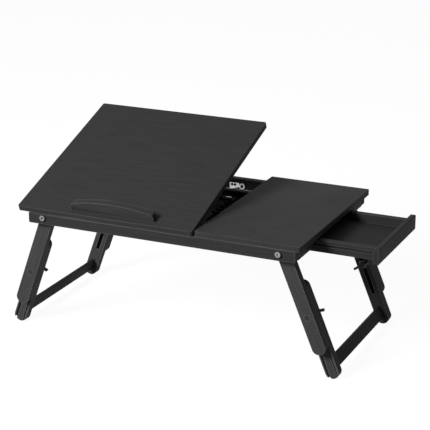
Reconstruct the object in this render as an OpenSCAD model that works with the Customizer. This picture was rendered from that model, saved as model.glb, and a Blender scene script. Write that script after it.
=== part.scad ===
// Folding lap desk: a tilting board, a fixed board with a drawer under it,
// and two pairs of folding legs whose lower halves slide for height.
// X runs along the table, Y from front to back, Z up. The floor is Z = 0.

/* [Table top] */
// Height of the table top above the floor
height = 245; // [225:1:290]
// Width of the tilting board
tilt_w = 350; // [300:1:420]
// Width of the fixed board
fixed_w = 198; // [180:1:260]
// Gap between the two boards
board_gap = 2; // [1:0.5:4]
// Depth of both boards
depth = 350; // [320:1:420]
// Thickness of both boards
board_t = 10; // [8:0.5:14]
// Radius of a board's corners, seen from above
corner_r = 6; // [2:0.5:8]
// Radius of a board's upper edges
edge_r = 1.5; // [0.5:0.25:2.5]
// Angle of the tilting board as it stands
tilt_rest = 19; // [12:0.5:24]

/* [Frame] */
// How far the tilting board reaches past the left end of the frame
left_overhang = 22; // [5:1:40]
// How far the fixed board reaches past the right end of the frame
right_overhang = 10; // [10:1:40]
// Height of the front and rear aprons
apron_h = 20.5; // [18:0.5:28]
// Thickness of the front and rear aprons
apron_t = 15; // [12:0.5:20]
// Radius of an apron's lower end corners
apron_r = 2.5; // [1:0.5:6]
// Distance from the table's front to the inner rail that guides the drawer
rail_inset = 74; // [72:1:90]
// Thickness of the inner rails and of the divider
rail_t = 12; // [10:0.5:16]
// Thickness of the bottom panel
panel_t = 3; // [3:0.5:5]

/* [Legs] */
// Angles of the left and right legs away from upright
splay = [20, 22.5]; // [10:0.5:24]
// Width of a leg
leg_w = 25; // [22:0.5:26]
// Thickness of a leg
leg_t = 15.5; // [12:0.5:16]
// Distance from the end of the frame to a leg's pivot
pivot_inset = 30; // [29:0.5:45]
// Distance from the boards down to a leg's pivot
pivot_drop = 8; // [7.5:0.25:12]
// Distance from the lower end of an upper leg to the foot
foot_show = 48; // [30:1:70]
// Distance from the pivot to the top end of a lower leg
lower_top = 59; // [55:1:70]
// Distance from the pivot to the clamp bolt
clamp_at = 124; // [110:1:135]
// Distance from the lower leg's top end to the top of its slot
slot_top = 20; // [16:1:30]
// Distance from the foot to the bottom of the slot
slot_foot = 60; // [52:1:70]
// Width of the slot in a lower leg
slot_w = 7.5; // [6.75:0.25:8]
// Width of the lip outside each groove of a lower leg
lip_w = 2.7; // [2:0.1:3.2]
// Width of the tongues on an upper leg
tongue_w = 3; // [2.5:0.25:3.5]
// Height of the tongues on an upper leg
tongue_h = 4.5; // [3:0.5:5]
// How far the land between a lower leg's grooves lies back
land_drop = 2; // [0.5:0.5:3]
// Width of a stretcher
stretcher_w = 23; // [14:1:26]
// Thickness of a stretcher
stretcher_t = 7; // [6:0.5:10]
// Distance from the foot up to the stretcher
stretcher_foot = 12; // [8:1:20]

/* [Leg hardware] */
// Radius of a pivot bolt's shank
pivot_r = 3; // [2.5:0.25:4]
// Radius of a pivot bolt's head
pivot_head_r = 5.2; // [4.5:0.1:6]
// Height of a pivot bolt's head
pivot_head_h = 4.5; // [3:0.25:6]
// Radius of a clamp bolt's shank
clamp_r = 3; // [2:0.25:3]
// Radius of a clamp bolt's head
clamp_head_r = 5.5; // [4.5:0.25:6]
// Reach of a wing nut's wings from its axis
wing_reach = 15.5; // [12:0.25:16]
// Turn of each wing nut: front left, back left, front right, back right
wing_turns = [27, 110, 165, 8];

/* [Drawer] */
// How far the drawer stands open
drawer_open = 112; // [0:1:125]
// How far the drawer front reaches past the drawer's sides
front_lap = 15; // [8:1:20]
// Height of the drawer front
front_h = 28; // [24:0.5:34]
// Thickness of the drawer front
front_t = 10; // [8:0.5:10]
// Height of the drawer's sides
side_h = 22; // [20:0.5:26]
// Thickness of the drawer's sides and back
side_t = 12; // [10:0.5:14]
// Gap between the fixed board and the top of the drawer front
front_drop = 2.5; // [1:0.5:4]
// Distance from the top of the drawer front to the top of its sides
side_drop = 3; // [2:0.5:5]
// Distance from the top of a drawer side to the middle of its groove
groove_drop = 8.8; // [7:0.1:11]
// Height of a drawer runner
runner_h = 3; // [2:0.25:4]
// Depth of the groove in a drawer side
groove_d = 5; // [3:0.25:7]

/* [Tilt support] */
// Distance from the board's hinge to the prop's pin
prop_at = 150; // [140:1:155]
// Length of the prop from its pin to its foot bar
prop_l = 98; // [94:1:100]
// Radius of the foot bar
foot_r = 3.5; // [3:0.25:4]
// Places of the left and right notched racks along the table
rack_x = [-235, 35];
// Thickness of a rack
rack_t = 10; // [8:0.5:12]
// Height of a rack
rack_h = 6.3; // [5.5:0.1:6.5]
// Number of notches in a rack
notch_count = 5; // [3:1:6]
// Distance between notches
notch_pitch = 18; // [15:0.5:20]
// Length of the bar that stops a book or a computer from sliding off
stop_l = 165; // [120:1:220]
// Height of the stop bar in its middle
stop_h = 24.5; // [18:0.5:28]
// Height of the stop bar at its ends
stop_end_h = 14; // [10:0.5:16]
// Thickness of the stop bar
stop_t = 12.5; // [8:0.5:16]
// Distance from the board's front edge to the stop bar
stop_inset = 10; // [5:0.5:20]
// Distance from the middle of the tilting board to the middle of the stop bar
stop_shift = 15; // [-30:1:30]

/* [Hidden] */
$fn = 64;

// Colours
paint = [0.16, 0.16, 0.16];
hidden_paint = [0.12, 0.12, 0.12];
steel = [0.72, 0.72, 0.70];
black_steel = [0.10, 0.10, 0.10];
black_plastic = [0.08, 0.08, 0.08];
bare_wood = [0.72, 0.58, 0.38];

// Clearances
run_gap = 0.05;     // round a pin, a bolt or a dowel
seat_gap = 0.1;     // beside a washer, and round a tenon or a panel in its groove
move_gap = 0.3;     // between flat faces that pass each other
tilt_gap = 0.3;     // under the tilting board when it is down

// Heights
leg_r = leg_w / 2;
frame_top = height - board_t;
frame_bottom = frame_top - apron_h;
pivot_z = frame_top - pivot_drop;

// Places along the table, from the middle of the frame
frame_l = tilt_w + board_gap + fixed_w - left_overhang - right_overhang;
pivot_x = frame_l / 2 - pivot_inset;
tilt_left = -frame_l / 2 - left_overhang;
tilt_right = tilt_left + tilt_w;
fixed_left = tilt_right + board_gap;
tilt_middle = tilt_left + tilt_w / 2;
fixed_middle = fixed_left + fixed_w / 2;
divider_x = fixed_left + 2;
// A leg leans against the lower inner edge of its end rail or end block
function stop_reach(a) = (pivot_z - frame_bottom) * tan(a) + leg_r / cos(a) + move_gap;
end_rail_t = [for (a = splay) pivot_inset - stop_reach(a)];

// Places from front to back
front_y = -depth / 2;
rail_y = front_y + rail_inset;
washer_t = 1;
upper_y = front_y + apron_t + washer_t;
upper_in = upper_y + leg_t;
lower_y = upper_in + move_gap;
lower_in = lower_y + leg_t;
clamp_washer_t = 1.2;
nut_y = lower_in + clamp_washer_t + 2 * seat_gap;

// Bolts
pivot_nut_t = 4;
pivot_nut_r = 5.5;
pivot_washer_r = 8;
bolt_end = 1;       // how far a bolt's thread stands out of its nut
socket_r = 2.3;
socket_d = 3;
clamp_head_t = 2.4;
clamp_washer_r = 7;
wing_hub_r = 6;
wing_hub_taper = 0.8;
wing_hub_t = 8;
wing_t = 4;
wing_rise = 13;
wing_end_h = 6;
wing_tip_r = 2;

// Legs: both pairs have the same halves, and the pair that leans more is pulled out further
reach = [for (a = splay) (pivot_z - leg_r) / cos(a) + leg_r];
upper_l = reach[0] - foot_show;
lower_l = reach[0] - lower_top;
// Room for the folded legs in the undersides of the boards
pocket_end = 40;
pocket_y = [upper_y - 1, lower_in + 1];
pocket_z = pivot_z + leg_r + move_gap;
tongue_at = leg_r - lip_w - move_gap - tongue_w / 2;
tongue_top = 12;
tenon_l = 9;
tenon_w = stretcher_w - 6;
tenon_t = stretcher_t - 3;
stretcher_r = 1.5;
stretcher_z = -(reach[0] - stretcher_foot - stretcher_w / 2);

// Tilting board, drawn lying down and then turned about its hinge
hinge_inset = 2.4;
hinge_y = front_y + hinge_inset;
hinge_z = frame_top + tilt_gap / 2;
tilt_under = frame_top + tilt_gap;
tilt_t = board_t - tilt_gap;
knuckle_r = 1.6;
knuckle_room = knuckle_r + move_gap;
hinge_pin_r = 0.8;
hinge_groove_r = norm([hinge_inset, tilt_gap / 2]) + move_gap;
leaf_t = 1;
leaf_l = 40;
leaf_depth = 11.5;
leaf_screw_shift = 12;
leaf_screw_inset = 4;
hinge_places = [tilt_left + 120, tilt_right - 90];
knuckle_count = 5;
knuckle_gap = 0.2;

// Prop, drawn folded up under the board and then turned about its pin
pin_drop = 5.3;
prop_y = hinge_y + prop_at;
prop_z = tilt_under - pin_drop;
arm_w = 10;
arm_t = 7;
arm_gap = 2;
arm_x = [rack_x[0] + rack_t / 2 + arm_gap, rack_x[1] - rack_t / 2 - arm_gap - arm_w];
prop_pin_r = 2;
arm_foot_r = foot_r + 1.5;
bracket_w = 8;
bracket_nose = 5;
bracket_tail = 15;
bracket_h = 9.5;
bracket_screw_at = 9.5;
bracket_screw_drop = 2;
bracket_screw_l = 8;
// The foot bar hangs just clear of the racks, so the prop's angle follows from its length
panel_z = frame_bottom + 2;
rack_z = panel_z + panel_t;
foot_clear = 1.1;
foot_z = rack_z + rack_h + foot_clear + foot_r;
prop_rel_y = prop_y - hinge_y;
prop_rel_z = prop_z - hinge_z;
pin_rest_y = hinge_y + prop_rel_y * cos(tilt_rest) - prop_rel_z * sin(tilt_rest);
pin_rest_z = hinge_z + prop_rel_y * sin(tilt_rest) + prop_rel_z * cos(tilt_rest);
prop_rest = tilt_rest + asin((pin_rest_z - foot_z) / prop_l);
foot_rest_y = pin_rest_y + prop_l * cos(prop_rest - tilt_rest);
notch_d = 3.6;
notch_back = foot_r + 0.7;
notch_ramp = 8;

// Drawer, drawn shut and then slid open
front_top = frame_top - front_drop;
side_top = front_top - side_drop;
drawer_gap = 1;
side_y = rail_y + rail_t + drawer_gap;
front_w = 2 * (front_lap - side_y);
shut_gap = 0.5;
front_x = frame_l / 2 + shut_gap;
drawer_end_gap = 4;
drawer_back_x = divider_x + rail_t + drawer_end_gap;
runner_z = side_top - groove_drop;
runner_reach = drawer_gap + groove_d - 0.7;
runner_inset = [8, 2];
drawer_panel_t = 3;
drawer_panel_z = side_top - side_h + 3;
panel_tuck = 4;

// Catch on the rear apron
catch_x = 0;
catch_z = frame_top - 12.5;
catch_plate_t = 1.5;
catch_left = -10;
catch_right = 9.5;
catch_high = 5;
catch_nose = [14, 1.5];
catch_low = [-3, -8];
catch_slope_x = -8;
catch_screw_x = [-5, 1];
catch_screw_z = 1;
catch_screw_l = 9;
catch_ring_r = 4.5;
catch_wire_r = 1.5;
catch_ring_x = catch_x + 16.3;
strike_t = 1.5;
strike_w = 9;
strike_h = 9;
strike_inset = 10;

// Screws and dowels
screw_r = 1.4;
screw_head_r = 2.8;
screw_head_h = 1.6;
dowel_r = 3;
dowel_l = 24;
rail_screw_shift = 55;
rail_screw_bite = 6;
frame_leaf_screw_l = 12;
board_skin = 2;     // left above a screw in the tilting board
stop_screw_shift = 45;
stop_screw_bite = 9;
side_screw_l = side_t + 12;
side_screw_z = [side_top - 4, side_top - side_h + 5.5];
side_dowel_z = [side_top - 4, side_top - side_h + 9];
side_dowel_r = 1.5;
side_dowel_x = [front_x - 12, front_x + 6];

// The part's origin is on the floor, below the middle of the box that holds it as it stands
function foot_x(side) = pivot_x + (reach[side] - leg_r) * sin(splay[side]) + leg_r;
low_x = min(-foot_x(0), tilt_left);
high_x = max(front_x + front_t + drawer_open, foot_x(1));
middle_x = (low_x + high_x) / 2;

// ---------- shapes and places ----------

module at_origin() {
    translate([-middle_x, 0, 0]) children();
}

// A rectangle with round corners, about its middle
module round_rect(w, h, r) {
    square([w - 2 * r, h], center = true);
    square([w, h - 2 * r], center = true);
    for (x = [-1, 1], y = [-1, 1]) {
        translate([x * (w / 2 - r), y * (h / 2 - r)]) circle(r);
    }
}

// A rectangle about its middle whose two upper corners are round
module round_top(w, h, r) {
    translate([0, -r / 2]) square([w, h - r], center = true);
    translate([0, (h - r) / 2]) square([w - 2 * r, r], center = true);
    for (x = [-1, 1]) {
        translate([x * (w / 2 - r), h / 2 - r]) circle(r);
    }
}

// Extrudes an outline drawn in Y and Z along X, from x1 to x2
module along_x(x1, x2) {
    translate([x1, 0, 0]) rotate([90, 0, 90]) linear_extrude(x2 - x1) children();
}

// Extrudes an outline drawn in X and Z along Y, from y1 to y2
module along_y(y1, y2) {
    translate([0, y2, 0]) rotate([90, 0, 0]) linear_extrude(y2 - y1) children();
}

// A block between two corners
module block(low, high) {
    translate(low) cube(high - low);
}

// A rod along Y, from y1 to y2
module rod_y(r, y1, y2) {
    translate([0, y2, 0]) rotate([90, 0, 0]) cylinder(r = r, h = y2 - y1);
}

// A rod along X, from x1 to x2
module rod_x(r, x1, x2) {
    translate([x1, 0, 0]) rotate([0, 90, 0]) cylinder(r = r, h = x2 - x1);
}

// Keeps a piece drawn at the front or the left, or mirrors it to the other side
module to_back(is_back) {
    if (is_back) mirror([0, 1, 0]) children();
    else children();
}

module to_right(is_right) {
    if (is_right) mirror([1, 0, 0]) children();
    else children();
}

module front_and_back() {
    children();
    mirror([0, 1, 0]) children();
}

module left_and_right() {
    children();
    mirror([1, 0, 0]) children();
}

// A countersunk screw that points down from its head at Z = 0, or the hole for it
module screw(l, room = 0) {
    translate([0, 0, -screw_head_h]) {
        cylinder(r1 = screw_r + room, r2 = screw_head_r + room, h = screw_head_h);
    }
    translate([0, 0, -l - room]) cylinder(r = screw_r + room, h = l + room);
}

// ---------- frame ----------

module apron_outline() {
    translate([0, (frame_bottom + frame_top + apron_r) / 2]) {
        intersection() {
            round_rect(frame_l, apron_h + apron_r, apron_r);
            translate([0, -apron_r / 2]) square([frame_l, apron_h], center = true);
        }
    }
}

// Cuts that the board hinge's frame leaves need in the front apron
module hinge_rebates() {
    for (x = hinge_places) {
        block([x - leaf_l / 2 - seat_gap, hinge_y, frame_top - leaf_t - seat_gap],
            [x + leaf_l / 2 + seat_gap, hinge_y + leaf_depth + seat_gap, frame_top + 1]);
    }
}

module frame_leaf_screws(room = 0) {
    for (x = hinge_places, dx = [-leaf_screw_shift, leaf_screw_shift]) {
        translate([x + dx, hinge_y + leaf_depth - leaf_screw_inset, frame_top - seat_gap / 2]) {
            screw(frame_leaf_screw_l, room);
        }
    }
}

// An apron with the bores for the pivot bolts and for the dowels
module apron() {
    difference() {
        along_y(front_y, front_y + apron_t) apron_outline();
        left_and_right() {
            translate([-pivot_x, 0, pivot_z]) rod_y(pivot_r + run_gap, front_y - 1, front_y + apron_t + 1);
        }
        end_dowels(run_gap);
    }
}

module front_apron() color(paint) difference() {
    apron();
    hinge_rebates();
    frame_leaf_screws(run_gap);
    // The top edge is hollow about the hinge, so that the tilting board's front edge clears it
    translate([0, hinge_y, hinge_z]) rod_x(hinge_groove_r, -frame_l / 2 - 1, tilt_right + board_gap / 2);
}

module rear_apron() color(paint) difference() {
    mirror([0, 1, 0]) apron();
    catch_screws(run_gap);
}

// Dowels that join the end rail and the end block to the apron: drawn at the front
module end_dowels(room = 0) {
    end = front_y + apron_t;
    for (x = [-frame_l / 2 + end_rail_t[0] / 2, frame_l / 2 - end_rail_t[1] / 2]) {
        translate([x, 0, (frame_top + frame_bottom) / 2]) {
            rod_y(dowel_r + room, end - dowel_l / 2 - room, end + dowel_l / 2 + room);
        }
    }
}

module left_end_rail() color(paint) difference() {
    block([-frame_l / 2, front_y + apron_t, frame_bottom],
        [-frame_l / 2 + end_rail_t[0], -front_y - apron_t, frame_top]);
    front_and_back() end_dowels(run_gap);
}

// The short rail at the right end, between an apron and the drawer
module end_block() {
    difference() {
        block([frame_l / 2 - end_rail_t[1], front_y + apron_t, frame_bottom], [frame_l / 2, rail_y, frame_top]);
        end_dowels(run_gap);
    }
}

module frame_dowels() color(bare_wood) {
    front_and_back() end_dowels();
}

// A long rail inside an apron, with the groove that holds the bottom panel
module inner_rail() {
    difference() {
        block([-frame_l / 2 + end_rail_t[0], rail_y, frame_bottom], [frame_l / 2, rail_y + rail_t, frame_top]);
        block([-frame_l / 2, rail_y + rail_t - panel_tuck - seat_gap, panel_z - seat_gap],
            [divider_x, rail_y + rail_t + 1, panel_z + panel_t + seat_gap]);
        rail_screws(run_gap);
    }
}

// Screws that go up through an inner rail into the fixed board: drawn at the front
module rail_screws(room = 0) {
    for (dx = [-rail_screw_shift, rail_screw_shift]) {
        translate([fixed_middle + dx, rail_y + rail_t / 2, frame_bottom]) mirror([0, 0, 1]) {
            screw(apron_h + rail_screw_bite, room);
        }
    }
}

module divider_rail() color(hidden_paint) {
    block([divider_x, rail_y + rail_t, frame_bottom], [divider_x + rail_t, -rail_y - rail_t, frame_top]);
}

module bottom_panel() color(hidden_paint) {
    tuck = panel_tuck;
    block([-frame_l / 2 + end_rail_t[0] + seat_gap, rail_y + rail_t - tuck, panel_z],
        [divider_x - seat_gap, -rail_y - rail_t + tuck, panel_z + panel_t]);
}

// A board with round corners and round upper edges, from x1 to x2, its underside at z
module board(x1, x2, z, t) {
    w = x2 - x1;
    translate([(x1 + x2) / 2, 0, z + t / 2]) intersection() {
        linear_extrude(t, center = true) round_rect(w, depth, corner_r);
        along_x(-w / 2, w / 2) round_top(depth, t, edge_r);
        along_y(-depth / 2, depth / 2) round_top(w, t, edge_r);
    }
}

// Pockets that take the upper edges of the folded legs: drawn at the left
module leg_pockets() {
    front_and_back() {
        block([-pivot_x - leg_r - 1, pocket_y[0], frame_top - 1], [-pivot_x + pocket_end, pocket_y[1], pocket_z]);
    }
}

module fixed_board() color(paint) difference() {
    board(fixed_left, fixed_left + fixed_w, frame_top, board_t);
    front_and_back() rail_screws(run_gap);
    to_right(true) leg_pockets();
}

// A strip on an inner rail that a drawer side's groove slides on: drawn at the front
module drawer_runner() {
    block([drawer_back_x + runner_inset[0], rail_y + rail_t, runner_z - runner_h / 2],
        [frame_l / 2 - runner_inset[1], rail_y + rail_t + runner_reach, runner_z + runner_h / 2]);
}

// The outline of one notch, with its steep side to the back, where the prop pushes
module notch_outline() {
    polygon([[notch_back, 1], [notch_back, -notch_d], [notch_back - 2 * foot_r, -notch_d], [-notch_ramp, 0],
        [-notch_ramp, 1]]);
}

module notched_rack(x) {
    difference() {
        block([x - rack_t / 2, rail_y + rail_t, rack_z], [x + rack_t / 2, -rail_y - rail_t, rack_z + rack_h]);
        along_x(x - rack_t, x + rack_t) for (i = [0:notch_count - 1]) {
            translate([foot_rest_y - i * notch_pitch, rack_z + rack_h]) notch_outline();
        }
    }
}

// ---------- hinges and catch ----------

// The knuckles that belong to one leaf: the frame's leaf has the odd places
module knuckles(first) {
    pitch = leaf_l / knuckle_count;
    for (i = [first:2:knuckle_count - 1]) {
        x = -leaf_l / 2 + i * pitch;
        rod_x(knuckle_r, x + knuckle_gap / 2, x + pitch - knuckle_gap / 2);
    }
}

// The thin web that joins a leaf's plate to its knuckles
module leaf_webs(first, low, high) {
    pitch = leaf_l / knuckle_count;
    for (i = [first:2:knuckle_count - 1]) {
        x = -leaf_l / 2 + i * pitch;
        block([x + knuckle_gap / 2, 0, low], [x + pitch - knuckle_gap / 2, knuckle_room + 1, high]);
    }
}

module hinge_leaf(first, low, high) {
    difference() {
        union() {
            knuckles(first);
            leaf_webs(first, low, high);
            block([-leaf_l / 2, knuckle_room, low], [leaf_l / 2, leaf_depth, high]);
        }
        rod_x(hinge_pin_r + run_gap, -leaf_l, leaf_l);
    }
}

module frame_hinge_leaves() color(black_steel) difference() {
    for (x = hinge_places) {
        translate([x, hinge_y, hinge_z]) {
            hinge_leaf(0, frame_top - leaf_t - hinge_z, frame_top - seat_gap / 2 - hinge_z);
        }
    }
    frame_leaf_screws(run_gap);
}

module board_hinge_leaves() color(black_steel) tilted() difference() {
    for (x = hinge_places) {
        translate([x, hinge_y, hinge_z]) {
            hinge_leaf(1, tilt_under + seat_gap / 2 - hinge_z, tilt_under + leaf_t - hinge_z);
        }
    }
    board_leaf_screws(run_gap);
}

module hinge_pins() color(black_steel) {
    for (x = hinge_places) {
        translate([x, hinge_y, hinge_z]) rod_x(hinge_pin_r, -leaf_l / 2, leaf_l / 2);
    }
}

module catch_screws(room = 0) {
    for (x = catch_screw_x) {
        translate([catch_x + x, -front_y - apron_t - catch_plate_t, catch_z + catch_screw_z]) {
            rotate([90, 0, 0]) screw(catch_screw_l, room);
        }
    }
}

// A plate whose lower edge rises towards the ring, on the inner face of the rear apron
module catch_plate() color(steel) difference() {
    along_y(-front_y - apron_t - catch_plate_t, -front_y - apron_t) translate([catch_x, catch_z]) {
        polygon([[catch_left, catch_high], [catch_right, catch_high], [catch_right, catch_low[0]],
            [catch_slope_x, catch_low[1]], [catch_left, catch_low[1]]]);
        // The nose behind the ring
        translate([0, -catch_nose[1]]) square([catch_nose[0], 2 * catch_nose[1]]);
    }
    catch_screws(run_gap);
}

module catch_ring() color(steel) {
    translate([catch_ring_x, -front_y - apron_t - catch_plate_t - catch_wire_r - seat_gap, catch_z]) {
        rotate([90, 0, 0]) rotate_extrude() translate([catch_ring_r, 0]) circle(catch_wire_r, $fn = 24);
    }
}

module catch_strike() color(steel) tilted() {
    y = -front_y - apron_t - strike_inset;
    block([catch_ring_x - strike_w / 2, y - strike_w, tilt_under - strike_t],
        [catch_ring_x + strike_w / 2, y, tilt_under]);
    block([catch_ring_x - strike_w / 2, y - strike_t, tilt_under - strike_h],
        [catch_ring_x + strike_w / 2, y, tilt_under]);
}

module frame_screws() color(black_steel) {
    front_and_back() rail_screws();
    frame_leaf_screws();
    catch_screws();
}

// ---------- tilting board and prop ----------

// Turns what is drawn lying down to the angle at which the board stands
module tilted() {
    translate([0, hinge_y, hinge_z]) rotate([tilt_rest, 0, 0]) translate([0, -hinge_y, -hinge_z]) children();
}

module board_leaf_screws(room = 0) {
    for (x = hinge_places, dx = [-leaf_screw_shift, leaf_screw_shift]) {
        translate([x + dx, hinge_y + leaf_depth - leaf_screw_inset, tilt_under + seat_gap / 2]) {
            mirror([0, 0, 1]) screw(tilt_t - board_skin, room);
        }
    }
}

module stop_screws(room = 0) {
    for (dx = [-stop_screw_shift, stop_screw_shift]) {
        translate([tilt_middle + stop_shift + dx, front_y + stop_inset + stop_t / 2, tilt_under]) {
            mirror([0, 0, 1]) screw(tilt_t + stop_screw_bite, room);
        }
    }
}

module bracket_screws(room = 0) {
    for (x = bracket_middles) {
        translate([x, prop_y + bracket_screw_at, tilt_under - bracket_screw_drop]) mirror([0, 0, 1]) {
            screw(bracket_screw_l, room);
        }
    }
}

module tilting_board() color(paint) tilted() difference() {
    board(tilt_left, tilt_right, tilt_under, tilt_t);
    for (x = hinge_places) {
        translate([x, 0, 0]) {
            block([-leaf_l / 2 - seat_gap, hinge_y, tilt_under - 1],
                [leaf_l / 2 + seat_gap, hinge_y + leaf_depth + seat_gap, tilt_under + leaf_t + seat_gap]);
            translate([0, hinge_y, hinge_z]) rod_x(knuckle_room, -leaf_l / 2 - 1, leaf_l / 2 + 1);
        }
    }
    board_leaf_screws(run_gap);
    stop_screws(run_gap);
    bracket_screws(run_gap);
    leg_pockets();
}

// The arched outline of the stop bar, standing on Y = 0
module stop_outline() {
    rise = stop_h - stop_end_h;
    arch_r = (stop_l * stop_l / 4 + rise * rise) / (2 * rise);
    end_r = 6;
    end_x = stop_l / 2 - end_r;
    end_y = stop_h - arch_r + sqrt(pow(arch_r - end_r, 2) - pow(end_x, 2));
    difference() {
        intersection() {
            translate([0, stop_h - arch_r]) circle(arch_r, $fn = 256);
            translate([-stop_l / 2, 0]) square([stop_l, stop_h]);
        }
        for (side = [-1, 1]) {
            difference() {
                translate([side * end_x - (side < 0 ? end_r + 1 : 0), end_y]) square([end_r + 1, stop_h]);
                translate([side * end_x, end_y]) circle(end_r);
            }
        }
    }
}

module stop_bar() color(paint) tilted() difference() {
    translate([tilt_middle + stop_shift, 0, tilt_under + tilt_t]) {
        along_y(front_y + stop_inset, front_y + stop_inset + stop_t) stop_outline();
    }
    stop_screws(run_gap);
}

// Brackets stand beside the arms, on the side towards the middle of the prop
bracket_left = [arm_x[0] + arm_w + move_gap, arm_x[1] - move_gap - bracket_w];
bracket_middles = [for (x = bracket_left) x + bracket_w / 2];

module prop_brackets() color(black_steel) tilted() difference() {
    for (x = bracket_left) {
        block([x, prop_y - bracket_nose, tilt_under - bracket_h], [x + bracket_w, prop_y + bracket_tail, tilt_under]);
    }
    translate([0, prop_y, prop_z]) rod_x(prop_pin_r + run_gap, rack_x[0], rack_x[1]);
    bracket_screws(run_gap);
    // Room for each bracket screw's head
    for (x = bracket_middles) {
        translate([x, prop_y + bracket_screw_at, tilt_under - bracket_h - 1]) {
            cylinder(r = screw_head_r + seat_gap, h = bracket_h - bracket_screw_drop + 1);
        }
    }
}

module tilt_screws() color(black_steel) tilted() {
    board_leaf_screws();
    stop_screws();
    bracket_screws();
}

// Turns what is drawn folded flat to the angle at which the prop stands
module propped() {
    tilted() translate([0, prop_y, prop_z]) rotate([-prop_rest, 0, 0]) children();
}

// An arm runs back along Y from the pin to the foot bar
module prop_arm(x) {
    propped() difference() {
        along_x(x, x + arm_w) union() {
            translate([0, -arm_t / 2]) square([prop_l, arm_t]);
            circle(arm_t / 2);
            translate([prop_l, 0]) circle(arm_foot_r);
        }
        rod_x(prop_pin_r + run_gap, x - 1, x + arm_w + 1);
        translate([0, prop_l, 0]) rod_x(foot_r + run_gap, x - 1, x + arm_w + 1);
    }
}

module prop_foot_bar() color(steel) propped() {
    translate([0, prop_l, 0]) rod_x(foot_r, rack_x[0] - rack_t / 2, rack_x[1] + rack_t / 2);
}

module prop_pins() color(steel) propped() {
    rod_x(prop_pin_r, arm_x[0], bracket_left[0] + bracket_w);
    rod_x(prop_pin_r, bracket_left[1], arm_x[1] + arm_w);
}

// ---------- drawer ----------

module opened() {
    translate([drawer_open, 0, 0]) children();
}

// The bottom's tucked edge, as the groove that takes it in the front, the sides and the back
module drawer_bottom_block(room) {
    block([drawer_back_x + side_t - panel_tuck - room, side_y + side_t - panel_tuck - room, drawer_panel_z - room],
        [front_x + panel_tuck + room, -side_y - side_t + panel_tuck + room, drawer_panel_z + drawer_panel_t + room]);
}

module drawer_front() color(paint) opened() difference() {
    translate([front_x, 0, front_top - front_h / 2]) intersection() {
        along_x(0, front_t) round_rect(front_w, front_h, 2);
        along_y(-front_w / 2, front_w / 2) translate([front_t / 2, 0]) round_rect(front_t, front_h, 2);
    }
    drawer_bottom_block(seat_gap);
    front_and_back() front_dowels(run_gap);
}

// Dowels that join a side to the drawer front: drawn at the front
module front_dowels(room = 0) {
    for (z = side_dowel_z) {
        translate([0, side_y + side_t / 2 + 2, z]) {
            rod_x(side_dowel_r + room, side_dowel_x[0] - room, side_dowel_x[1] + room);
        }
    }
}

module side_screws(room = 0) {
    for (z = side_screw_z) {
        translate([drawer_back_x + side_t / 2, side_y, z]) rotate([90, 0, 0]) screw(side_screw_l, room);
    }
}

// A drawer side with the groove that slides on the runner: drawn at the front
module drawer_side() {
    difference() {
        along_x(drawer_back_x, front_x) translate([side_y + side_t / 2, side_top - side_h / 2]) {
            round_rect(side_t, side_h, 1);
        }
        block([drawer_back_x - 1, side_y - 1, runner_z - runner_h / 2 - move_gap],
            [front_x + 1, side_y + groove_d, runner_z + runner_h / 2 + move_gap]);
        drawer_bottom_block(seat_gap);
        front_dowels(run_gap);
        side_screws(run_gap);
    }
}

module drawer_back() color(hidden_paint) opened() difference() {
    block([drawer_back_x, side_y + side_t, side_top - side_h + 1],
        [drawer_back_x + side_t, -side_y - side_t, side_top - 1]);
    drawer_bottom_block(seat_gap);
    front_and_back() side_screws(run_gap);
}

module drawer_bottom() color(hidden_paint) opened() {
    drawer_bottom_block(0);
}

module drawer_dowels() color(bare_wood) opened() {
    front_and_back() front_dowels();
}

module drawer_screws() color(black_steel) opened() {
    front_and_back() side_screws();
}

// ---------- legs: each is drawn at the front left, hanging straight down from its pivot ----------

// A side is 0 for the left pair and 1 for the right pair, which is mirrored to its place
module leg_place(side) {
    to_right(side == 1) translate([-pivot_x, 0, pivot_z]) rotate([0, splay[side], 0]) children();
}

// Slides a lower half along its leg until its foot stands on the floor
module lower_place(side) {
    leg_place(side) translate([0, 0, reach[0] - reach[side]]) children();
}

// A bar with round ends between two distances from the pivot
module leg_outline(w, top, bottom) {
    r = w / 2;
    translate([-r, -bottom + r]) square([w, bottom - top - 2 * r]);
    translate([0, -top - r]) circle(r);
    translate([0, -bottom + r]) circle(r);
}

module clamp_axis() {
    translate([0, 0, -clamp_at]) children();
}

// The long strips of an upper leg's tongues, or of the grooves round them
module tongue_strips(room, top, bottom) {
    for (x = [-tongue_at, tongue_at]) {
        translate([x - tongue_w / 2 - room, -bottom]) square([tongue_w + 2 * room, bottom - top]);
    }
}

// An upper leg has two tongues along its inner face, which run in the lower leg's grooves
module upper_leg(side) {
    leg_place(side) difference() {
        union() {
            along_y(upper_y, upper_in) leg_outline(leg_w, -leg_r, upper_l);
            along_y(upper_in - 1, upper_in + tongue_h) intersection() {
                leg_outline(leg_w, -leg_r, upper_l);
                tongue_strips(0, tongue_top, upper_l);
            }
        }
        // The top is cut level under the board
        rotate([0, -splay[side], 0]) {
            block([-leg_w, upper_y - 1, pivot_drop - move_gap], [leg_w, upper_in + 1, leg_w]);
        }
        rod_y(pivot_r + run_gap, upper_y - 1, upper_in + 1);
        clamp_axis() {
            rod_y(clamp_r + run_gap, upper_y - 1, upper_in + 1);
            rod_y(clamp_head_r + seat_gap, upper_y - 1, upper_y + clamp_head_t);
        }
    }
}

module slot_outline() {
    leg_outline(slot_w, lower_top + slot_top, reach[0] - slot_foot);
}

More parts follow.
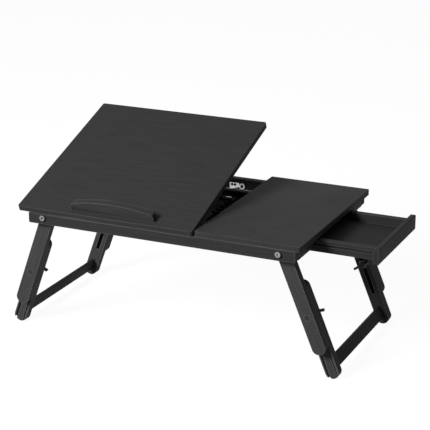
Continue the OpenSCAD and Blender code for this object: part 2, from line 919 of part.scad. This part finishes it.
module lower_leg(side) {
    lower_place(side) difference() {
        along_y(lower_y, lower_in) leg_outline(leg_w, lower_top, reach[0]);
        along_y(lower_y - 1, lower_y + tongue_h) tongue_strips(move_gap, lower_top - 1, reach[0] + 1);
        block([-tongue_at, lower_y - 1, -reach[0] - 1], [tongue_at, lower_y + land_drop, -lower_top + 1]);
        along_y(lower_y - 1, lower_in + 1) slot_outline();
        stretcher_tenon(seat_gap);
    }
}

// The tongue on a stretcher's end, or the mortise for it
module stretcher_tenon(room) {
    translate([0, 0, stretcher_z]) {
        block([-tenon_t / 2 - room, lower_in - tenon_l - room, -tenon_w / 2 - room],
            [tenon_t / 2 + room, lower_in + 1, tenon_w / 2 + room]);
    }
}

module stretcher(side) {
    lower_place(side) {
        along_y(lower_in, -lower_in) translate([0, stretcher_z]) round_rect(stretcher_t, stretcher_w, stretcher_r);
        front_and_back() stretcher_tenon(0);
    }
}

module clamp_bolt(side) {
    leg_place(side) clamp_axis() {
        rod_y(clamp_r, upper_y, nut_y + wing_hub_t + bolt_end);
        rod_y(clamp_head_r, upper_y, upper_y + clamp_head_t - seat_gap);
    }
}

module clamp_washer(side) {
    leg_place(side) clamp_axis() difference() {
        rod_y(clamp_washer_r, lower_in + seat_gap, lower_in + seat_gap + clamp_washer_t);
        rod_y(clamp_r + run_gap, lower_in, nut_y + 1);
    }
}

// One wing of a nut: X runs out from the nut's axis, and Y away from the leg
module wing_outline() {
    end_x = wing_reach - wing_tip_r;
    end_low = wing_rise - wing_end_h;
    root = 0.5;
    polygon([[clamp_r + root, root], [wing_hub_r, root], [end_x, end_low], [wing_reach, end_low + wing_tip_r],
        [wing_reach, wing_rise - wing_tip_r], [end_x, wing_rise], [clamp_r + 2 * root, wing_hub_t - root]]);
    for (y = [end_low + wing_tip_r, wing_rise - wing_tip_r]) {
        translate([end_x, y]) circle(wing_tip_r);
    }
}

module wing_nut(side, turn) {
    leg_place(side) clamp_axis() translate([0, nut_y, 0]) difference() {
        union() {
            rotate([-90, 0, 0]) {
                cylinder(r1 = wing_hub_r + wing_hub_taper, r2 = wing_hub_r - wing_hub_taper, h = wing_hub_t);
            }
            for (wing = [0, 180]) {
                rotate([0, turn + wing, 0]) translate([0, 0, -wing_t / 2]) linear_extrude(wing_t) wing_outline();
            }
        }
        rod_y(clamp_r + run_gap, -1, wing_rise + 1);
    }
}

module pivot_hardware() {
    translate([-pivot_x, 0, pivot_z]) children();
}

// A cap screw whose head stands on the apron, with a six-sided socket
module pivot_bolt() {
    pivot_hardware() difference() {
        union() {
            rod_y(pivot_head_r, front_y - pivot_head_h, front_y);
            rod_y(pivot_r, front_y - 1, upper_in + pivot_nut_t + bolt_end);
        }
        translate([0, front_y - pivot_head_h + socket_d, 0]) {
            rotate([90, 0, 0]) cylinder(r = socket_r, h = socket_d + 1, $fn = 6);
        }
    }
}

module pivot_washer() {
    pivot_hardware() difference() {
        rod_y(pivot_washer_r, upper_y - washer_t + seat_gap, upper_y - seat_gap);
        rod_y(pivot_r + run_gap, front_y, upper_in);
    }
}

module pivot_nut() {
    pivot_hardware() difference() {
        translate([0, upper_in + seat_gap + pivot_nut_t, 0]) {
            rotate([90, 0, 0]) cylinder(r = pivot_nut_r, h = pivot_nut_t, $fn = 6);
        }
        rod_y(pivot_r + run_gap, upper_in, upper_in + pivot_nut_t + 1);
    }
}

module four_corners() {
    left_and_right() front_and_back() children();
}

module pivot_bolts() color(steel) four_corners() pivot_bolt();
module pivot_washers() color(black_plastic) four_corners() pivot_washer();
module pivot_nuts() color(steel) four_corners() pivot_nut();

// ---------- nodes ----------

at_origin() front_apron();
at_origin() rear_apron();
at_origin() left_end_rail();
at_origin() color(paint) end_block();  // front_end_block
at_origin() color(paint) to_back(true) end_block();  // rear_end_block
at_origin() color(hidden_paint) inner_rail();  // front_inner_rail
at_origin() color(hidden_paint) to_back(true) inner_rail();  // rear_inner_rail
at_origin() divider_rail();
at_origin() bottom_panel();
at_origin() fixed_board();
at_origin() color(bare_wood) drawer_runner();  // front_drawer_runner
at_origin() color(bare_wood) to_back(true) drawer_runner();  // rear_drawer_runner
at_origin() color(hidden_paint) notched_rack(rack_x[0]);  // left_notched_rack
at_origin() color(hidden_paint) notched_rack(rack_x[1]);  // right_notched_rack
at_origin() frame_hinge_leaves();
at_origin() hinge_pins();
at_origin() catch_plate();
at_origin() catch_ring();
at_origin() frame_dowels();
at_origin() frame_screws();
at_origin() pivot_bolts();
at_origin() pivot_washers();
at_origin() pivot_nuts();
at_origin() tilting_board();
at_origin() stop_bar();
at_origin() board_hinge_leaves();
at_origin() catch_strike();
at_origin() prop_brackets();
at_origin() tilt_screws();
at_origin() color(paint) prop_arm(arm_x[0]);  // left_prop_arm
at_origin() color(paint) prop_arm(arm_x[1]);  // right_prop_arm
at_origin() prop_foot_bar();
at_origin() prop_pins();
at_origin() drawer_front();
at_origin() color(paint) opened() drawer_side();  // front_drawer_side
at_origin() color(paint) opened() to_back(true) drawer_side();  // rear_drawer_side
at_origin() drawer_back();
at_origin() drawer_bottom();
at_origin() drawer_dowels();
at_origin() drawer_screws();
at_origin() color(paint) upper_leg(0);  // front_left_upper_leg
at_origin() color(paint) to_back(true) upper_leg(0);  // back_left_upper_leg
at_origin() color(black_steel) front_and_back() clamp_bolt(0);  // left_clamp_bolts
at_origin() color(steel) front_and_back() clamp_washer(0);  // left_clamp_washers
at_origin() color(paint) lower_leg(0);  // front_left_lower_leg
at_origin() color(paint) to_back(true) lower_leg(0);  // back_left_lower_leg
at_origin() color(paint) stretcher(0);  // left_stretcher
at_origin() color(paint) upper_leg(1);  // front_right_upper_leg
at_origin() color(paint) to_back(true) upper_leg(1);  // back_right_upper_leg
at_origin() color(black_steel) front_and_back() clamp_bolt(1);  // right_clamp_bolts
at_origin() color(steel) front_and_back() clamp_washer(1);  // right_clamp_washers
at_origin() color(paint) lower_leg(1);  // front_right_lower_leg
at_origin() color(paint) to_back(true) lower_leg(1);  // back_right_lower_leg
at_origin() color(paint) stretcher(1);  // right_stretcher
at_origin() color(black_plastic) wing_nut(0, wing_turns[0]);  // front_left_wing_nut
union() {  // back_left_wing_nut
    at_origin() color(black_plastic) to_back(true) wing_nut(0, wing_turns[1]);
}
at_origin() color(black_plastic) wing_nut(1, wing_turns[2]);  // front_right_wing_nut
union() {  // back_right_wing_nut
    at_origin() color(black_plastic) to_back(true) wing_nut(1, wing_turns[3]);
}
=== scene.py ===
"""The looks of a folding lap desk of black painted wood: its finishes, its softened edges, a pale
studio and the camera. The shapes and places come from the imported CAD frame.
Lengths are in metres. X runs along the desk, Y from front to back and Z up."""

import math

import bpy
from mathutils import Matrix, Vector


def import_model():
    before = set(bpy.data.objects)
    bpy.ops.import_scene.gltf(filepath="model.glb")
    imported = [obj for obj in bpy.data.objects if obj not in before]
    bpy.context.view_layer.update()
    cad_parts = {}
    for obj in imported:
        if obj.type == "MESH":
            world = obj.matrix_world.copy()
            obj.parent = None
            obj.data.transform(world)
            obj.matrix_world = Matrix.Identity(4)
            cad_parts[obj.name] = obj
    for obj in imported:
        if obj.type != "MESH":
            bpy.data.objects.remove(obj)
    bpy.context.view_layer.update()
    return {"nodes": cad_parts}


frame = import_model()
nodes = frame["nodes"]

MM = 0.001

# ---------- angles and names that the looks share with the frame ----------

LEAN = {"left": math.radians(20), "right": math.radians(-22.5)}  # of the legs, about Y
TILT = math.radians(19)  # of the tilting board, about X
ENDS = ("front", "back")
SIDES = ("left", "right")
WING_NUTS = [f"{end}_{side}_wing_nut" for end in ENDS for side in SIDES]

# ---------- material nodes ----------


class Shader:
    """A new material, with short calls that add its nodes and link them."""

    def __init__(self, name):
        self.material = bpy.data.materials.new(name)
        self.material.use_nodes = True
        self.tree = self.material.node_tree
        self.principled = self.tree.nodes["Principled BSDF"]

    def add(self, kind, settings=None, **inputs):
        """A node with its settings, and with a value or another node's output at each input."""
        node = self.tree.nodes.new("ShaderNode" + kind)
        for name, value in (settings or {}).items():
            setattr(node, name, value)
        for name, value in inputs.items():
            self.feed(node.inputs[name.replace("_", " ")], value)
        return node

    def feed(self, socket, value):
        if isinstance(value, bpy.types.NodeSocket):
            self.tree.links.new(value, socket)
        else:
            socket.default_value = value

    def maths(self, operation, first, second):
        node = self.add("Math", {"operation": operation})
        self.feed(node.inputs[0], first)
        self.feed(node.inputs[1], second)
        return node.outputs[0]

    def between(self, value, low, high, to_low=0.0, to_high=1.0):
        """Maps value from one range to another, and stops at its ends."""
        node = self.add("MapRange", {"clamp": True})
        for socket, given in zip(node.inputs, (value, low, high, to_low, to_high)):
            self.feed(socket, given)
        return node.outputs["Result"]

    def mix(self, share, first, second):
        """A colour between two, by share."""
        node = self.add("Mix", {"data_type": "RGBA"})
        self.feed(node.inputs["Factor"], share)
        colours = [s for s in node.inputs if s.type == "RGBA"]
        for socket, value in zip(colours, (first, second)):
            self.feed(socket, value if isinstance(value, bpy.types.NodeSocket) else (*value, 1))
        return next(s for s in node.outputs if s.type == "RGBA")

    def place(self, turn=(0, 0, 0)):
        """Coordinates that ride with the piece, turned about the frame's axes."""
        coordinates = self.add("TexCoord").outputs["Object"]
        return self.add("Mapping", {"vector_type": "TEXTURE"}, Vector=coordinates, Rotation=turn).outputs[0]

    def noise(self, place, scale, detail, stretch=(1, 1, 1)):
        """Soft spots about 1/scale metres apart, drawn out along an axis by stretch."""
        drawn = self.add("Mapping", Vector=place, Scale=[scale / s for s in stretch]).outputs[0]
        return self.add("TexNoise", Vector=drawn, Scale=1.0, Detail=detail, Roughness=0.55).outputs["Fac"]

    def edge(self, width):
        """1 along the piece's sharp edges, fading to 0 about width away from them."""
        flat, turned = 0.995, 0.93  # cosines of the angle between the rounded and the true normal
        rounded = self.add("Bevel", {"samples": 6}, Radius=width).outputs[0]
        true_normal = self.add("NewGeometry").outputs["Normal"]
        dot = self.add("VectorMath", {"operation": "DOT_PRODUCT"})
        self.feed(dot.inputs[0], rounded)
        self.feed(dot.inputs[1], true_normal)
        return self.between(dot.outputs["Value"], flat, turned)

    def bump(self, height, depth, strength):
        node = self.add("Bump", Height=height, Distance=depth, Strength=strength)
        self.feed(self.principled.inputs["Normal"], node.outputs[0])

    def finish(self, **inputs):
        for name, value in inputs.items():
            self.feed(self.principled.inputs[name.replace("_", " ")], value)
        return self.material


# ---------- finishes ----------

# The grain's streaks are this much longer than wide
GRAIN_RUN = 30
ALONG_X = (GRAIN_RUN, 1, 1)
ALONG_Y = (1, GRAIN_RUN, 1)
ALONG_Z = (1, 1, GRAIN_RUN)

# How much light the black paint gives back. It is one paint, but each group of parts has its own tone as
# painted light and shade: lightest on the legs, then the tops, then the long pieces, and darkest on the
# cross pieces and inside parts.
TOP_TONE = 0.027
LONG_TONE = 0.024
CROSS_TONE = 0.022
INSIDE_TONE = 0.022
LEG_TONE = 0.037

# Roughness of the coats
SATIN = 0.5
MATT = 0.62


def scaled(colour, factor):
    """A colour made darker or lighter."""
    return [part * factor for part in colour]


def painted_wood(name, tone, stretch, turn=(0, 0, 0), roughness=SATIN):
    """Black paint over wood: its fine grain still shows, and its edges are painted lighter, partly as
    scuffed paint and partly as a painted highlight.
    """
    # The third colour is the edges' lighter colour: scuffed paint and a painted highlight.
    dark, light, worn_and_highlight = (0.80, 0.80, 0.81), (1.25, 1.25, 1.24), (3.4, 3.35, 3.3)  # at a tone of 1
    contrast = 0.75
    edge_width = 2.0 * MM
    relief = 0.12 * MM
    gloss = 0.02
    shader = Shader(name)
    place = shader.place(turn)
    streaks = shader.maths("MULTIPLY", shader.noise(place, scale=420, detail=4, stretch=stretch), 0.65)
    fibres = shader.maths("MULTIPLY", shader.noise(place, scale=1500, detail=3, stretch=stretch), 0.35)
    clouds = shader.noise(place, scale=9, detail=2)
    peel = shader.noise(place, scale=700, detail=2)
    grain = shader.maths("ADD", streaks, fibres)
    lit = shader.maths("MULTIPLY", shader.between(grain, 0.36, 0.66), contrast)
    colour = shader.mix(lit, scaled(dark, tone), scaled(light, tone))
    # Edges painted lighter in patches along their length: a little scuffed paint, and mostly a painted
    # highlight on the rounded edges.
    rub_and_highlight_share = shader.between(clouds, 0.35, 0.65, 0.45, 0.8)
    rubbed_and_highlight = shader.maths("MULTIPLY", shader.edge(edge_width), rub_and_highlight_share)
    colour = shader.mix(rubbed_and_highlight, colour, scaled(worn_and_highlight, tone))
    rough = shader.maths("ADD", shader.between(clouds, 0.3, 0.7, roughness - 0.04, roughness + 0.05),
                         shader.between(peel, 0.3, 0.7, -0.02, 0.03))
    height = shader.maths("ADD", shader.maths("MULTIPLY", grain, 0.8), shader.maths("MULTIPLY", peel, 0.25))
    shader.bump(height, relief, 0.5)
    return shader.finish(Base_Color=colour, Roughness=rough, Specular_IOR_Level=gloss)


def metal(name, tone, roughness, spread=0.08, metallic=1.0, worn_and_highlight=None, gloss=0.5):
    """Plated or coated steel with fine scratches and small stains. A coat can be scuffed lighter at the
    edges.
    """
    stained = 0.82  # of the tone
    edge_width = 0.4 * MM
    relief = 0.03 * MM
    shader = Shader(name)
    place = shader.place()
    scratches = shader.noise(place, scale=2200, detail=3, stretch=(14, 1, 1))
    stains = shader.noise(place, scale=160, detail=4)
    colour = shader.mix(shader.between(stains, 0.35, 0.65), scaled(tone, stained), tone)
    if worn_and_highlight:
        colour = shader.mix(shader.maths("MULTIPLY", shader.edge(edge_width), 0.5), colour, worn_and_highlight)
    rough = shader.between(scratches, 0.3, 0.7, roughness - spread, roughness + spread)
    shader.bump(scratches, relief, 0.4)
    return shader.finish(Base_Color=colour, Roughness=rough, Metallic=metallic, Specular_IOR_Level=gloss)


def plastic(name, tone, roughness):
    """Moulded plastic with the fine texture of its mould."""
    dark, light, worn_and_highlight = 0.85, 1.15, 2.4  # of the tone
    edge_width = 0.5 * MM
    relief = 0.05 * MM
    gloss = 0.15
    shader = Shader(name)
    place = shader.place()
    texture = shader.noise(place, scale=2600, detail=2)
    clouds = shader.noise(place, scale=120, detail=2)
    colour = shader.mix(shader.between(clouds, 0.35, 0.65), scaled(tone, dark), scaled(tone, light))
    rubbed_and_highlight = shader.maths("MULTIPLY", shader.edge(edge_width), 0.4)
    colour = shader.mix(rubbed_and_highlight, colour, scaled(tone, worn_and_highlight))
    rough = shader.between(texture, 0.3, 0.7, roughness - 0.06, roughness + 0.06)
    shader.bump(texture, relief, 0.5)
    return shader.finish(Base_Color=colour, Roughness=rough, Specular_IOR_Level=gloss)


def bare_wood(name, stretch):
    """Planed pale wood with its growth lines and pores."""
    late_wood, early_wood, pore = (0.43, 0.29, 0.15), (0.62, 0.47, 0.28), (0.25, 0.15, 0.07)
    relief = 0.1 * MM
    shader = Shader(name)
    place = shader.place()
    lines = shader.noise(place, scale=260, detail=4, stretch=stretch)
    pores = shader.noise(place, scale=1800, detail=2, stretch=stretch)
    colour = shader.mix(shader.between(lines, 0.35, 0.65), late_wood, early_wood)
    colour = shader.mix(shader.between(pores, 0.62, 0.72, 0.0, 0.5), colour, pore)
    rough = shader.between(lines, 0.3, 0.7, 0.62, 0.5)
    shader.bump(shader.maths("ADD", lines, pores), relief, 0.5)
    return shader.finish(Base_Color=colour, Roughness=rough)


# Copies of the one black paint at the tones above, lighter or darker by group of parts as painted light and
# shade.
finishes = {
    "board": painted_wood("paint_board", TOP_TONE, ALONG_X),
    "tilted_board": painted_wood("paint_tilted_board", TOP_TONE, ALONG_X, (TILT, 0, 0)),
    "along": painted_wood("paint_along", LONG_TONE, ALONG_X),
    "across": painted_wood("paint_across", CROSS_TONE, ALONG_Y),
    "prop": painted_wood("paint_prop", TOP_TONE, ALONG_Y),
    "inside_along": painted_wood("inside_paint_along", INSIDE_TONE, ALONG_X, roughness=MATT),
    "inside_across": painted_wood("inside_paint_across", INSIDE_TONE, ALONG_Y, roughness=MATT),
    "steel": metal("zinc_steel", (0.62, 0.62, 0.60), 0.30),
    "bolt_steel": metal("bolt_steel", (0.28, 0.28, 0.275), 0.36),
    "black_steel": metal("black_steel", (0.027, 0.027, 0.028), 0.40, spread=0.06, metallic=0.0,
                         worn_and_highlight=(0.12, 0.12, 0.12), gloss=0.06),
    "plastic": plastic("black_plastic", (0.02, 0.02, 0.021), 0.42),
    "wood_along": bare_wood("bare_wood_along", ALONG_X),
    "wood_across": bare_wood("bare_wood_across", ALONG_Y),
}
for side in SIDES:
    finishes[side + "_leg"] = painted_wood(f"paint_{side}_legs", LEG_TONE, ALONG_Z, (0, LEAN[side], 0))

FINISH_OF = {
    "board": ["fixed_board"],
    "tilted_board": ["tilting_board", "stop_bar"],
    "along": ["front_apron", "rear_apron", "front_drawer_side", "rear_drawer_side"],
    "across": ["left_end_rail", "front_end_block", "rear_end_block", "drawer_front",
               "left_stretcher", "right_stretcher"],
    "prop": ["left_prop_arm", "right_prop_arm"],
    "inside_along": ["front_inner_rail", "rear_inner_rail", "bottom_panel", "drawer_bottom"],
    "inside_across": ["divider_rail", "left_notched_rack", "right_notched_rack", "drawer_back"],
    "steel": ["catch_plate", "catch_ring", "catch_strike", "pivot_nuts", "prop_foot_bar",
              "prop_pins", "left_clamp_washers", "right_clamp_washers"],
    "bolt_steel": ["pivot_bolts"],
    "black_steel": ["frame_hinge_leaves", "board_hinge_leaves", "hinge_pins", "frame_screws", "tilt_screws",
                    "drawer_screws", "prop_brackets", "left_clamp_bolts", "right_clamp_bolts"],
    "plastic": ["pivot_washers", *WING_NUTS],
    "wood_along": ["front_drawer_runner", "rear_drawer_runner", "drawer_dowels"],
    "wood_across": ["frame_dowels"],
    "left_leg": [f"{end}_left_{half}_leg" for end in ENDS for half in ("upper", "lower")],
    "right_leg": [f"{end}_right_{half}_leg" for end in ENDS for half in ("upper", "lower")],
}


def paint(piece, finish):
    """Gives a piece one finish all over."""
    piece.data.materials.clear()
    piece.data.materials.append(finishes[finish])
    for face in piece.data.polygons:
        face.material_index = 0


for finish, names in FINISH_OF.items():
    for name in names:
        paint(nodes[name], finish)

# ---------- softened edges ----------


def soften(piece, width):
    """Rounds a piece's sharp edges: its split corners are joined and its flat faces made whole first."""
    segments = 2
    sharp = math.radians(28)
    for face in piece.data.polygons:
        face.use_smooth = True
    weld = piece.modifiers.new("join", "WELD")
    weld.merge_threshold = 0.001 * MM
    flat = piece.modifiers.new("flatten", "DECIMATE")
    flat.decimate_type = "DISSOLVE"
    flat.angle_limit = math.radians(0.5)
    bevel = piece.modifiers.new("edges", "BEVEL")
    bevel.width = width
    bevel.segments = segments
    bevel.limit_method = "ANGLE"
    bevel.angle_limit = sharp
    bevel.harden_normals = True
    bevel.use_clamp_overlap = True


for name in ("rear_apron", "left_end_rail", "front_end_block", "rear_end_block"):
    soften(nodes[name], 0.9 * MM)
for name in ("stop_bar", *WING_NUTS):
    soften(nodes[name], 0.6 * MM)

# ---------- studio ----------


def floor():
    """A pale floor. It glows white to the camera and in mirrors, but the object's shadow still shows."""
    half = 12
    albedo = 0.50
    glow, glow_share = 1.1, 0.86
    corners = [(-half, -half, 0), (half, -half, 0), (half, half, 0), (-half, half, 0)]
    mesh = bpy.data.meshes.new("studio_floor")
    mesh.from_pydata(corners, [], [(0, 1, 2, 3)])
    ground = bpy.data.objects.new("studio_floor", mesh)
    bpy.context.scene.collection.objects.link(ground)
    shader = Shader("pale_floor")
    shader.finish(Base_Color=(albedo, albedo, albedo, 1), Roughness=0.9, Specular_IOR_Level=0.1)
    path = shader.add("LightPath").outputs
    mirrored = shader.maths("MAXIMUM", path["Is Glossy Ray"], path["Is Transmission Ray"])
    seen = shader.maths("MAXIMUM", path["Is Camera Ray"], mirrored)
    white = shader.add("Emission", Color=(1, 1, 1, 1), Strength=glow).outputs[0]
    blend = shader.add("MixShader")
    shader.feed(blend.inputs[0], shader.maths("MULTIPLY", seen, glow_share))
    shader.feed(blend.inputs[1], shader.principled.outputs[0])
    shader.feed(blend.inputs[2], white)
    shader.feed(shader.tree.nodes["Material Output"].inputs["Surface"], blend.outputs[0])
    mesh.materials.append(shader.material)


def world(fill):
    """Even light of strength fill all round. The camera and mirrors see white instead."""
    sky = bpy.data.worlds.new("studio")
    bpy.context.scene.world = sky
    sky.use_nodes = True
    tree = sky.node_tree
    background = tree.nodes["Background"]
    path = tree.nodes.new("ShaderNodeLightPath").outputs
    seen = path["Is Camera Ray"]
    for ray in ("Is Glossy Ray", "Is Transmission Ray"):
        either = tree.nodes.new("ShaderNodeMath")
        either.operation = "MAXIMUM"
        tree.links.new(seen, either.inputs[0])
        tree.links.new(path[ray], either.inputs[1])
        seen = either.outputs[0]
    strength = tree.nodes.new("ShaderNodeMapRange")
    strength.inputs["To Min"].default_value = fill
    tree.links.new(seen, strength.inputs["Value"])
    tree.links.new(strength.outputs[0], background.inputs["Strength"])
    background.inputs["Color"].default_value = (1, 1, 1, 1)


def softbox(name, place, target, size, power):
    """A square lamp that faces a point."""
    lamp = bpy.data.lights.new(name, "AREA")
    lamp.shape = "SQUARE"
    lamp.size = size
    lamp.energy = power
    box = bpy.data.objects.new(name, lamp)
    box.location = place
    box.rotation_euler = (Vector(target) - Vector(place)).to_track_quat("-Z", "Y").to_euler()
    bpy.context.scene.collection.objects.link(box)


floor()
world(fill=0.13)
softbox("key_light", place=(-1.3, -2.9, 2.1), target=(0, 0, 0.15), size=1.2, power=215)
softbox("top_light", place=(-0.3, 0.2, 3.0), target=(0, 0, 0.2), size=2.2, power=14)

# ---------- camera ----------

# The camera's place and angles come from a fit of the object's corners in the photograph
CAMERA_AT = Vector((1.08244, -2.35058, 1.09195))
AZIMUTH = math.radians(24.72)
ELEVATION = math.radians(18.73)
ROLL = math.radians(-0.10)
FOCAL = 1488.5  # pixels
PHOTO_WIDTH = 430  # pixels
SENSOR = 36  # millimetres

back = Vector((math.sin(AZIMUTH) * math.cos(ELEVATION), -math.cos(AZIMUTH) * math.cos(ELEVATION),
               math.sin(ELEVATION)))
level = Vector((math.cos(AZIMUTH), math.sin(AZIMUTH), 0))
upward = back.cross(level)
right = level * math.cos(ROLL) + upward * math.sin(ROLL)
above = upward * math.cos(ROLL) - level * math.sin(ROLL)
lens = bpy.data.cameras.new("camera")
lens.sensor_width = SENSOR
lens.lens = FOCAL * SENSOR / PHOTO_WIDTH
lens.clip_end = 50
camera = bpy.data.objects.new("camera", lens)
camera.matrix_world = Matrix((
    (right.x, above.x, back.x, CAMERA_AT.x),
    (right.y, above.y, back.y, CAMERA_AT.y),
    (right.z, above.z, back.z, CAMERA_AT.z),
    (0, 0, 0, 1),
))
bpy.context.scene.collection.objects.link(camera)
bpy.context.scene.camera = camera
bpy.context.scene.view_settings.view_transform = "Standard"
